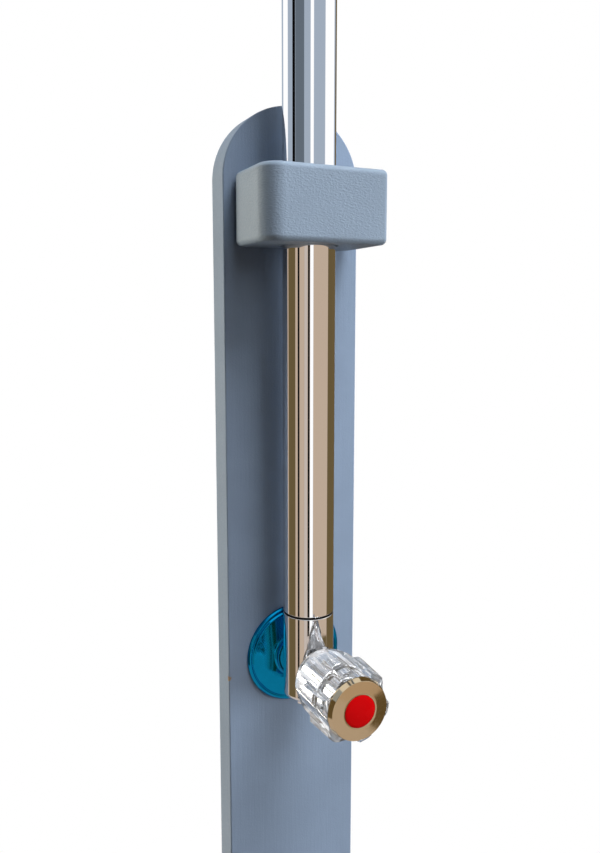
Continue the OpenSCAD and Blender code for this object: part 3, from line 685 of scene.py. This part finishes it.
class SHOWER_OT_plank(bpy.types.Operator):
    """The painted plank with its half-round top, its eased edges and the holes in its back"""

    bl_idname = "shower.plank"
    bl_label = "Plank"

    def execute(self, context):
        half, edge = BOARD_HI.x, 1.0
        top = BOARD_HI.z - half
        deep = (BOARD_HI.y - BOARD_LO.y) / 2

        def outline(inset, y):
            """The plank's outline, set in: its foot, a side, the half-round top and the other side."""
            line = [(-half + inset, y, inset), (half - inset, y, inset)]
            line += [(half - inset, y, top * k / 12) for k in range(1, 12)]
            for k in range(97):
                a = math.pi * k / 96
                line.append(((half - inset) * math.cos(a), y, top + (half - inset) * math.sin(a)))
            line += [(-half + inset, y, top * k / 12) for k in range(11, 0, -1)]
            return line

        rings = []
        for side in (-1, 1):
            for k in range(9)[::-side]:
                a = math.radians(90 * k / 8)
                inset = edge * (1 - math.sin(a))
                rings.append(outline(inset, side * (deep - edge * (1 - math.cos(a)))))
        plank = loft("plank", rings)
        self.close_ends(plank)
        cutters = []

        def hole(x, z, *steps, count=64):
            """A round hole from the back. Each step has its radius and the depth that it reaches."""
            profile, start = [(0, -1)], -1
            for r, depth in steps:
                profile += [(r, start), (r, depth)]
                start = depth
            place = Matrix.Translation((x, BOARD_HI.y, z)) @ FORWARD
            cutters.append(turned("hole", [*profile, (0, start)], place, count))

        tail, screws, inserts = reach("inlet_tail"), reach("block_screws"), reach("wall_inserts")
        tail_room, pocket_r, head_r, insert_r = 0.35, 19, 5, 6
        hole(0, TAP_Z, ((tail[1].x - tail[0].x) / 2 + tail_room, 2 * deep + 1))
        hole(0, TAP_Z, (pocket_r, BOARD_HI.y - reach("back_washer")[0].y), count=96)
        for side in (-1, 1):
            apart = (screws[1].x - screws[0].x) / 2 - head_r
            hole(side * apart, BLOCK_Z, (head_r + 0.1, 2.6), (2.6, 23), count=48)
        for z in (inserts[0].z + insert_r, inserts[1].z - insert_r):
            hole(0, z, (insert_r + 0.1, 14.1))
        cut(plank, *cutters)
        level(plank)
        dress(plank, "plank", "post", ["board"])
        return {"FINISHED"}

    def close_ends(self, plank):
        """Gives the front and the back their flat faces."""
        skin = bmesh.new()
        skin.from_mesh(plank.data)
        open_edges = [e for e in skin.edges if len(e.link_faces) == 1]
        bmesh.ops.contextual_create(skin, geom=[e for e in open_edges if e.verts[0].co.y < 0])
        bmesh.ops.contextual_create(skin, geom=[e for e in open_edges if e.verts[0].co.y > 0])
        skin.to_mesh(plank.data)
        skin.free()
        smooth(plank)


class SHOWER_OT_clamp(bpy.types.Operator):
    """The painted clamp block with its soft edges, the bush in it and the screws that hold it"""

    bl_idname = "shower.clamp"
    bl_label = "Clamp block"

    def execute(self, context):
        wide, front, back = BLOCK_HI.x, BLOCK_LO.y, BLOCK_HI.y
        tall = (BLOCK_HI.z - BLOCK_LO.z) / 2
        corner, right, rear, edge, hole = 14.0, 3.0, 7.0, 3.8, 19.2
        plan = []
        for cx, cy, r, start in (
            (wide - rear, back - rear, rear, 0), (-wide + rear, back - rear, rear, 90),
            (-wide + corner, front + corner, corner, 180), (wide - right, front + right, right, 270),
        ):
            for k in range(17):
                a = math.radians(start + 90 * k / 16)
                plan.append((cx + r * math.cos(a), cy + r * math.sin(a)))
        plan = divided(plan, lambda p, q: 3)
        turns = [math.atan2(y - AXIS_Y, x) for x, y in plan]

        def shrunk(inset):
            """The plan's points moved in, each along the way its side or corner faces."""
            moved = []
            for x, y in plan:
                r = rear if y > AXIS_Y else right if x > 0 else corner
                cx = max(-(wide - r), min(wide - r, x))
                cy = max(front + r, min(back - r, y))
                away = Vector((0 if abs(x) < wide - r else x - cx, 0 if front + r < y < back - r else y - cy))
                away.normalize()
                moved.append((x - inset * away.x, y - inset * away.y))
            return moved

        rings = []
        for side in (1, -1):
            half = []
            for out, down in ((0, 0.8), (0.25, 0.2), (0.8, 0)):
                r, z = hole + out, BLOCK_Z + side * (tall - down)
                half.append([(r * math.cos(a), AXIS_Y + r * math.sin(a), z) for a in turns])
            for k in range(9):
                a = math.radians(90 * k / 8)
                z = BLOCK_Z + side * (tall - edge * (1 - math.cos(a)))
                half.append([(x, y, z) for x, y in shrunk(edge * (1 - math.sin(a)))])
            rings += half[::side]
        block = level(loft("block", rings, closed=True))
        dress(block, "block", "post", ["clamp_block"])
        dress_nodes("nylon", "clamp_bush")
        dress_nodes("steel", "block_screws")
        return {"FINISHED"}


class SHOWER_OT_riser(bpy.types.Operator):
    """The chrome riser, the black ring under it and the rings that seal it"""

    bl_idname = "shower.riser"
    bl_label = "Riser"

    def execute(self, context):
        wall, ring_r = 1.5, TUBE_R - 0.35
        bore, low, high = TUBE_R - wall, TUBE_LO.z, TUBE_HI.z
        line = eased([(bore, low, 0.3), (TUBE_R, low, 0.5), (TUBE_R, high, 0.5), (bore, high, 0.3)])
        riser = turned("riser", line, UPRIGHT, 256)
        drill(riser, 1, 12)
        level(riser)
        dress(riser, "chrome", "post", ["riser_tube"])
        lo, hi = reach("joint_ring")
        line = eased([(16, lo.z), (ring_r, lo.z, 0.3), (ring_r, hi.z, 0.3), (16, hi.z)])
        ring = turned("black_joint", line, UPRIGHT, 192)
        dress(ring, "ring", "post", ["joint_ring"])
        dress_nodes("ring", "spigot_rings")
        return {"FINISHED"}


class SHOWER_OT_tap_body(bpy.types.Operator):
    """The chrome tap body: an upright barrel, a branch back to the plank and the pocket behind the handle"""

    bl_idname = "shower.tap_body"
    bl_label = "Tap body"

    def execute(self, context):
        foot, shoulder = TAP_Z - 21, TUBE_LO.z - 1.4
        spigot, bore = 15.9, 9.0
        line = eased([
            (bore, foot), (TUBE_R, foot, 4), (TUBE_R, shoulder, 0.5), (spigot, shoulder),
            (spigot, BARREL_TOP, 0.6), (bore, BARREL_TOP),
        ], steps=8)
        barrel = turned("tap_body", line, UPRIGHT, 256)
        branch_r, pocket_r, pocket_deep = 14.2, 19.4, 2.2
        out = FACE_Y - AXIS_Y
        line = eased([(0, 0.6), (branch_r, 0.6, 0.4), (branch_r, out), (0, out)], closed=False)
        branch = turned("branch", line, OUTWARD, 192)
        union = barrel.modifiers.new("Join", "BOOLEAN")
        union.operation, union.solver, union.object = "UNION", "EXACT", branch
        settle(barrel)
        bpy.data.objects.remove(branch)
        front = out + TUBE_R - pocket_deep
        pocket = rod("pocket", OUTWARD, pocket_r, front, front + 6, 192)
        # The tail's thread, the waterway and the headwork's bore
        line = [(0, -1), (10.58, -1), (10.58, 13), (7, 13), (7, 17), (12, 17), (12, 60), (0, 60)]
        cut(barrel, pocket, turned("way", line, OUTWARD, 96))
        level(barrel)
        dress(barrel, "chrome", "post", ["valve_body"])
        dress_nodes("chrome", "body_plug")
        return {"FINISHED"}


class SHOWER_OT_flange(bpy.types.Operator):
    """The blue flange with its rolled rim, dish and hub, and the seal under it"""

    bl_idname = "shower.flange"
    bl_label = "Flange"

    def execute(self, context):
        r = (FLANGE_HI.x - FLANGE_LO.x) / 2
        high = FACE_Y - FLANGE_LO.y
        hub, wall = 15.3, 0.7
        outside = [
            (r, 0.05, 0.2), (r, 1.5, 0.7), (r - 1.1, 2.6, 0.6), (r - 2.1, 2.6, 0.5), (r - 3.0, 1.9, 0.4),
            (r - 4.1, 3.2, 0.5), (r - 5.2, 3.2, 0.8), (hub + 1.0, 4.2, 1.0), (hub, 5.4, 1.0),
            (hub, high, 0.4),
        ]
        inside = [(hub - wall, high, 0.2), (hub - wall, 4.2)]
        under = [(hub + 1.4, 3.1), (r - 6.0, 2.2), (r - 6.0, 1.1), (r - 1.2, 1.1), (r - 1.2, 0.05)]
        line = eased(outside + inside + under, steps=7)
        flange = level(turned("blue_flange", line, OUTWARD, 224))
        dress(flange, "blue", "post", ["flange"])
        dress_nodes("foam", "flange_seal")
        return {"FINISHED"}


class SHOWER_OT_inlet(bpy.types.Operator):
    """The threaded tail through the plank, its washers and nut, and the wall inserts"""

    bl_idname = "shower.inlet"
    bl_label = "Inlet and wall fixings"

    def execute(self, context):
        dress_nodes("brass", "inlet_tail", "back_nut", "wall_inserts")
        dress_nodes("fibre", "tail_washer")
        dress_nodes("steel", "back_washer")
        return {"FINISHED"}


class SHOWER_OT_headwork(bpy.types.Operator):
    """The quarter-turn headwork: cartridge, discs, spindle and its seals"""

    bl_idname = "shower.headwork"
    bl_label = "Headwork"

    def execute(self, context):
        dress_nodes("plated", "cartridge", "spindle")
        dress_nodes("ceramic", "fixed_disc", "turning_disc")
        dress_nodes("ring", "seat_ring", "stem_rings")
        dress_nodes("steel", "spindle_clip")
        return {"FINISHED"}


class SHOWER_OT_handle(bpy.types.Operator):
    """The clear handle: a turned blank that Geometry Nodes flute, and the bush and screw inside it"""

    bl_idname = "shower.handle"
    bl_label = "Clear handle"

    def execute(self, context):
        values = context.scene.shower_handle
        # The handle's length, its ridges' radius, the rear cavity's floor and where the flutes run straight
        long, ridge_r, blind, straight = 50.0, 26.0, 30, 26
        line = eased([
            (15, 0, 0.3), (19, 0, 0.6), (21.8, 5.9, 3), (23.3, 13.6, 4), (23.3, 22, 0.8),
            (ridge_r, 24.5, 0.7), (24.8, long - 1.2, 0.5), (23.6, long, 0.4), (13, long, 0.3), (13, 34, 0.5),
            (2.1, 34), (2.1, blind), (7.1, blind), (7.1, 17), (10, 17, 0.5), (10, blind, 1.5),
            (15, blind, 1.5),
        ], steps=4)

        def step(p, q):
            """The flutes' back ends need close points, their straight part fewer and the inside none."""
            if min(p[0], q[0]) <= 18:
                return math.inf
            return 0.9 if q[1] < straight else 3.0

        knob = turned("clear_handle", divided(line, step), Matrix(), values.flutes * 90)
        run_tree(knob, self.flute_tree(), {
            "Flutes": values.flutes, "Ridge": values.ridge, "Edge": values.edge, "Turn": values.turn,
            "Radius": ridge_r * MM, "Depth": values.depth, "Material": FINISH["acrylic"],
        })
        place = OUTWARD @ Matrix.Translation((0, 0, KNOB_OUT))
        move(knob, place)
        smooth(knob, 28)
        level(knob)
        dress(knob, "acrylic", "handle", ["handle_knob"])
        # The faces of the two cavities, behind and in front, take the lining
        knob.data.materials.append(FINISH["lining"])
        inward = (Matrix.Scale(MM, 4) @ place).inverted()
        for face in knob.data.polygons:
            spot = inward @ face.center
            radius = math.hypot(spot.x, spot.y)
            behind = 0.5 < spot.z < blind + 0.5 and 9 < radius < 15.3
            if behind or blind < spot.z < long - 0.5 and radius < 13.3:
                face.material_index = 1
        dress_nodes("nylon", "handle_bush")
        dress_nodes("steel", "handle_screw")
        return {"FINISHED"}

    def flute_tree(self):
        """Moves each point of a blank in to the round flutes that lie about its axis. Each flute spans the
        angle that its ridges leave, so its radius follows from its depth."""
        tree, known = open_tree("Flute a blank", {
            "Flutes": "Int", "Ridge": "Float", "Edge": "Float", "Turn": "Float", "Radius": "Float",
            "Depth": "Float",
        })
        place = add(tree, "ShaderNodeSeparateXYZ", [add(tree, "GeometryNodeInputPosition")]).outputs
        known.update(x=place["X"], y=place["Y"], z=place["Z"])
        # Each row names a result, its operation and its terms
        formula = (
            # How far a point is from the axis, and its angle from the middle of the nearest flute
            ("y squared", "MULTIPLY", "y", "y"), ("radius squared", "MULTIPLY_ADD", "x", "x", "y squared"),
            ("radius", "SQRT", "radius squared"), ("half", "DIVIDE", math.pi, "Flutes"),
            ("bearing", "ARCTAN2", "y", "x"), ("turned", "SUBTRACT", "bearing", "Turn"),
            ("off", "PINGPONG", "turned", "half"),
            # The flute's radius, from its floor and the edges of its ridges
            ("half span", "MULTIPLY_ADD", "Ridge", -0.5, "half"), ("span", "COSINE", "half span"),
            ("floor", "SUBTRACT", "Radius", "Depth"), ("floor squared", "MULTIPLY", "floor", "floor"),
            ("squares", "MULTIPLY_ADD", "Radius", "Radius", "floor squared"),
            ("product", "MULTIPLY", "Radius", "floor"), ("doubled", "MULTIPLY", "span", -2.0),
            ("cross", "MULTIPLY", "product", "doubled"), ("above", "ADD", "squares", "cross"),
            ("edge height", "MULTIPLY", "Radius", "span"), ("rise", "SUBTRACT", "edge height", "floor"),
            ("below", "MULTIPLY", "rise", 2.0), ("flute", "DIVIDE", "above", "below"),
            ("axis", "ADD", "floor", "flute"),
            # Where a line out from the handle's axis meets the flute
            ("sine", "SINE", "off"), ("aside", "MULTIPLY", "axis", "sine"),
            ("aside squared", "MULTIPLY", "aside", "aside"), ("taken", "MULTIPLY", "aside squared", -1.0),
            ("left", "MULTIPLY_ADD", "flute", "flute", "taken"), ("kept", "MAXIMUM", "left", 0.0),
            ("back", "SQRT", "kept"), ("cosine", "COSINE", "off"), ("along", "MULTIPLY", "axis", "cosine"),
            ("inner", "SUBTRACT", "along", "back"),
            ("eased", "SMOOTH_MIN", "radius", "inner", "Edge"), ("share", "DIVIDE", "eased", "radius"),
            ("new x", "MULTIPLY", "x", "share"), ("new y", "MULTIPLY", "y", "share"),
        )
        for name, operation, *terms in formula:
            terms = [known.get(term, term) for term in terms]
            known[name] = add(tree, "ShaderNodeMath", terms, operation=operation)
        spot = add(tree, "ShaderNodeCombineXYZ", [known["new x"], known["new y"], known["z"]])
        moved = {"Geometry": known["Geometry"], "Position": spot}
        return close_tree(tree, add(tree, "GeometryNodeSetPosition", moved), known["Material"])


class SHOWER_OT_cap(bpy.types.Operator):
    """The round metal cap with its tapered edge, and the red index in it"""

    bl_idname = "shower.cap"
    bl_label = "Cap and index"

    def execute(self, context):
        rise = FACE_Y - reach("handle_cap")[0].y - KNOB_END
        skirt, edge, rim, plug, well, disc = 20.5, 19.3, 11.6, 12.9, 10.7, 10.55
        place = OUTWARD @ Matrix.Translation((0, 0, KNOB_END))
        line = eased([
            (plug - 1.2, -8, 0.3), (plug, -8, 0.3), (plug, 0), (skirt, 0, 0.2), (skirt, 1, 0.5),
            (edge, rise - 0.5, 0.35), (rim + 0.7, rise - 0.06, 0.5), (rim + 0.3, rise, 0.2),
            (well, rise, 0.25), (well, rise - 2.2), (3.1, rise - 2.2), (3.1, rise - 3.4),
            (plug - 1.2, rise - 3.4),
        ], steps=6)
        cap = level(turned("metal_cap", line, place, 224))
        dress(cap, "cap", "handle", ["handle_cap"])
        top = FACE_Y - reach("index_disc")[0].y - KNOB_END
        dome = [(disc * (1 - k / 12), top - 0.6 * (1 - k / 12) ** 2 - 0.15 * (k == 0)) for k in range(13)]
        line = [(0, rise - 5.6), (3, rise - 5.6), (3, rise - 2.15), (disc, rise - 2.15)] + dome
        index = level(turned("red_index", line, place, 128))
        dress(index, "red", "handle", ["index_disc"])
        return {"FINISHED"}


class SHOWER_OT_neck(bpy.types.Operator):
    """The collar on the riser's top end and the swan neck that turns in it"""

    bl_idname = "shower.neck"
    bl_label = "Collar and neck"

    def execute(self, context):
        base, tube_r, bore, tail_r = TUBE_HI.z, 11.0, 7.8, 15.9
        line = eased([
            (bore, base - 26), (tail_r, base - 26, 0.5), (tail_r, base), (TUBE_R, base, 0.4),
            (TUBE_R, base + 5, 1.5), (14, base + 15, 1.5), (14, base + 20, 0.8),
            (tube_r + 0.05, base + 20, 0.2), (tube_r + 0.05, base - 10), (bore, base - 10),
        ])
        collar = turned("top_collar", line, UPRIGHT, 192)
        drill(collar, 0, 6.2)
        level(collar)
        dress(collar, "chrome", "post", ["collar"])
        rings = []
        for r, way in ((tube_r, 1), (tube_r - 1.2, -1)):
            rings += [self.cross(r, *station) for station in self.route(base - 9.95)][::way]
        neck = loft("neck_tube", rings, closed=True)
        dress(level(neck), "chrome", "neck", ["swan_neck"])
        dress_nodes("ring", "collar_ring")
        dress_nodes("steel", "collar_screw")
        return {"FINISHED"}

    def route(self, start):
        """The neck's middle line: up the straight, round the bend and down its end, with the turn at each."""
        bend_z, steps = TUBE_HI.z + BEND_RISE, 120
        stations = [(Vector((0, AXIS_Y, start)), 0.0), (Vector((0, AXIS_Y, bend_z)), 0.0)]
        for k in range(1, steps + 1):
            turn = BEND_TURN * k / steps
            y, z = AXIS_Y - BEND_R + BEND_R * math.cos(turn), bend_z + BEND_R * math.sin(turn)
            stations.append((Vector((0, y, z)), turn))
        middle, turn = stations[-1]
        onward = Vector((0, -math.sin(turn), math.cos(turn)))
        return [*stations, (middle + onward * NECK_TAIL, turn)]

    def cross(self, r, middle, turn):
        """The ring of points across the neck at a station."""
        across, aside, count = Vector((1, 0, 0)), Vector((0, math.cos(turn), math.sin(turn))), 96
        angles = [2 * math.pi * k / count for k in range(count)]
        return [middle + across * r * math.cos(a) + aside * r * math.sin(a) for a in angles]


class SHOWER_OT_ball_joint(bpy.types.Operator):
    """The ball stud, its cup and the socket that holds the rose"""

    bl_idname = "shower.ball_joint"
    bl_label = "Ball joint"

    def execute(self, context):
        ball, at, stem, bore = 9.0, 15.0, 5.0, 3.5
        meet = math.asin(stem / ball)
        line = [(bore, 0.0)] + eased([
            (11.1, 0), (11.1, -12, 0.2), (13, -12, 0.5), (13, 0, 0.4), (stem, 4, 0.4), (stem, at - 7.5)
        ], closed=False)
        for k in range(41):
            a = math.pi - meet - (math.pi - meet - math.asin(bore / ball)) * k / 40
            line.append((ball * math.sin(a), at + ball * math.cos(a)))
        stud = level(turned("ball_and_stem", line, NECK_END, 128))
        dress(stud, "chrome", "neck", ["ball_stud"])
        dress_nodes("nylon", "ball_cup")
        dress_nodes("chrome", "ball_socket")
        return {"FINISHED"}


class SHOWER_OT_rose(bpy.types.Operator):
    """The rose's shell, its face plate, gasket and strainer"""

    bl_idname = "shower.rose"
    bl_label = "Rose"

    def execute(self, context):
        dress_nodes("chrome", "rose_shell")
        dress_nodes("steel", "rose_face", "strainer")
        dress_nodes("ring", "rose_gasket")
        return {"FINISHED"}


class SHOWER_OT_nozzles(bpy.types.Operator):
    """The rubber nozzles, set in rings by Geometry Nodes"""

    bl_idname = "shower.nozzles"
    bl_label = "Nozzles"

    def execute(self, context):
        values = context.scene.shower_rose
        # The face plate's front, down the rose's axis from the neck's end
        face = 15 + 8 + 9 + 9 - 2.5
        line = eased([
            (0.6, -1), (2.8, -1, 0.2), (2.8, 0), (2.0, 0), (2.0, 2.5, 0.2), (1.0, 4.7, 0.2), (0.6, 4.7)
        ], steps=2)
        nozzle = turned("nozzle", line, Matrix(), 20)
        carrier = add_object("nozzles", bpy.data.meshes.new("nozzles"))
        run_tree(carrier, self.ring_tree(), {
            "Rings": values.rings, "Pitch": values.pitch, "Nozzle": nozzle, "Material": FINISH["nozzle"],
        })
        bpy.data.objects.remove(nozzle)
        move(carrier, NECK_END @ Matrix.Translation((0, 0, face)))
        smooth(carrier)
        dress(carrier, "nozzle", "rose", ["rose_nozzles"])
        return {"FINISHED"}

    def ring_tree(self):
        """Sets a nozzle in the middle and rings of six, twelve and so on about it."""
        tree, known = open_tree("Rings of nozzles", {"Rings": "Int", "Pitch": "Float", "Nozzle": "Object"})
        known["index"] = add(tree, "GeometryNodeInputIndex")
        # Each row names a result, its operation and its terms
        formula = (
            # The nozzles in all, 1 + 3 n (n + 1)
            ("one more", "ADD", "Rings", 1.0), ("pairs", "MULTIPLY", "Rings", "one more"),
            ("count", "MULTIPLY_ADD", "pairs", 3.0, 1.0),
            # The ring that a nozzle is in, and how many come before that ring
            ("inside", "MULTIPLY_ADD", "index", 12.0, 9.0), ("root", "SQRT", "inside"),
            ("less", "SUBTRACT", "root", 3.01), ("sixth", "DIVIDE", "less", 6.0), ("ring", "CEIL", "sixth"),
            ("one less", "SUBTRACT", "ring", 1.0), ("filled", "MULTIPLY", "ring", "one less"),
            ("before", "MULTIPLY_ADD", "filled", 3.0, 1.0),
            # Its angle and its distance from the middle
            ("nth", "SUBTRACT", "index", "before"), ("sixths", "MULTIPLY", "nth", math.pi / 3),
            ("shared by", "MAXIMUM", "ring", 1.0), ("turn", "DIVIDE", "sixths", "shared by"),
            ("out", "MULTIPLY", "ring", "Pitch"), ("cosine", "COSINE", "turn"), ("sine", "SINE", "turn"),
            ("x", "MULTIPLY", "out", "cosine"), ("y", "MULTIPLY", "out", "sine"),
        )
        for name, operation, *terms in formula:
            terms = [known.get(term, term) for term in terms]
            known[name] = add(tree, "ShaderNodeMath", terms, operation=operation)
        spot = add(tree, "ShaderNodeCombineXYZ", [known["x"], known["y"], 0.0])
        points = add(tree, "GeometryNodePoints", {"Count": known["count"], "Position": spot})
        shape = add(tree, "GeometryNodeObjectInfo", {"Object": known["Nozzle"]}, transform_space="ORIGINAL")
        instances = {"Points": points, "Instance": shape.outputs["Geometry"]}
        return close_tree(tree, add(tree, "GeometryNodeInstanceOnPoints", instances), known["Material"])


class SHOWER_PT_panel(bpy.types.Panel):
    bl_label = "Shower post"
    bl_idname = "SHOWER_PT_panel"
    bl_space_type = "VIEW_3D"
    bl_region_type = "UI"
    bl_category = "Shower"

    def draw(self, context):
        for group in VALUES:
            values = getattr(context.scene, group)
            for key in values.__annotations__:
                self.layout.prop(values, key)
        for maker in MAKERS:
            self.layout.operator(maker.bl_idname)


VALUES = {
    "shower_paint": PaintValues,
    "shower_tap": TapValues,
    "shower_handle": HandleValues,
    "shower_rose": RoseValues,
    "shower_studio": StudioValues,
}
MAKERS = (
    SHOWER_OT_studio, SHOWER_OT_plank, SHOWER_OT_clamp, SHOWER_OT_riser, SHOWER_OT_tap_body,
    SHOWER_OT_flange, SHOWER_OT_inlet, SHOWER_OT_headwork, SHOWER_OT_handle, SHOWER_OT_cap, SHOWER_OT_neck,
    SHOWER_OT_ball_joint, SHOWER_OT_rose, SHOWER_OT_nozzles,
)


def register():
    for kind in (*VALUES.values(), *MAKERS, SHOWER_PT_panel):
        bpy.utils.register_class(kind)
    for name, kind in VALUES.items():
        setattr(bpy.types.Scene, name, PointerProperty(type=kind))


def unregister():
    for name in VALUES:
        delattr(bpy.types.Scene, name)
    for kind in (SHOWER_PT_panel, *reversed(MAKERS), *reversed(VALUES.values())):
        bpy.utils.unregister_class(kind)


def main():
    """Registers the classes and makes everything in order."""
    register()
    for maker in MAKERS:
        group, name = maker.bl_idname.split(".")
        getattr(getattr(bpy.ops, group), name)()


if __name__ == "__main__":
    main()
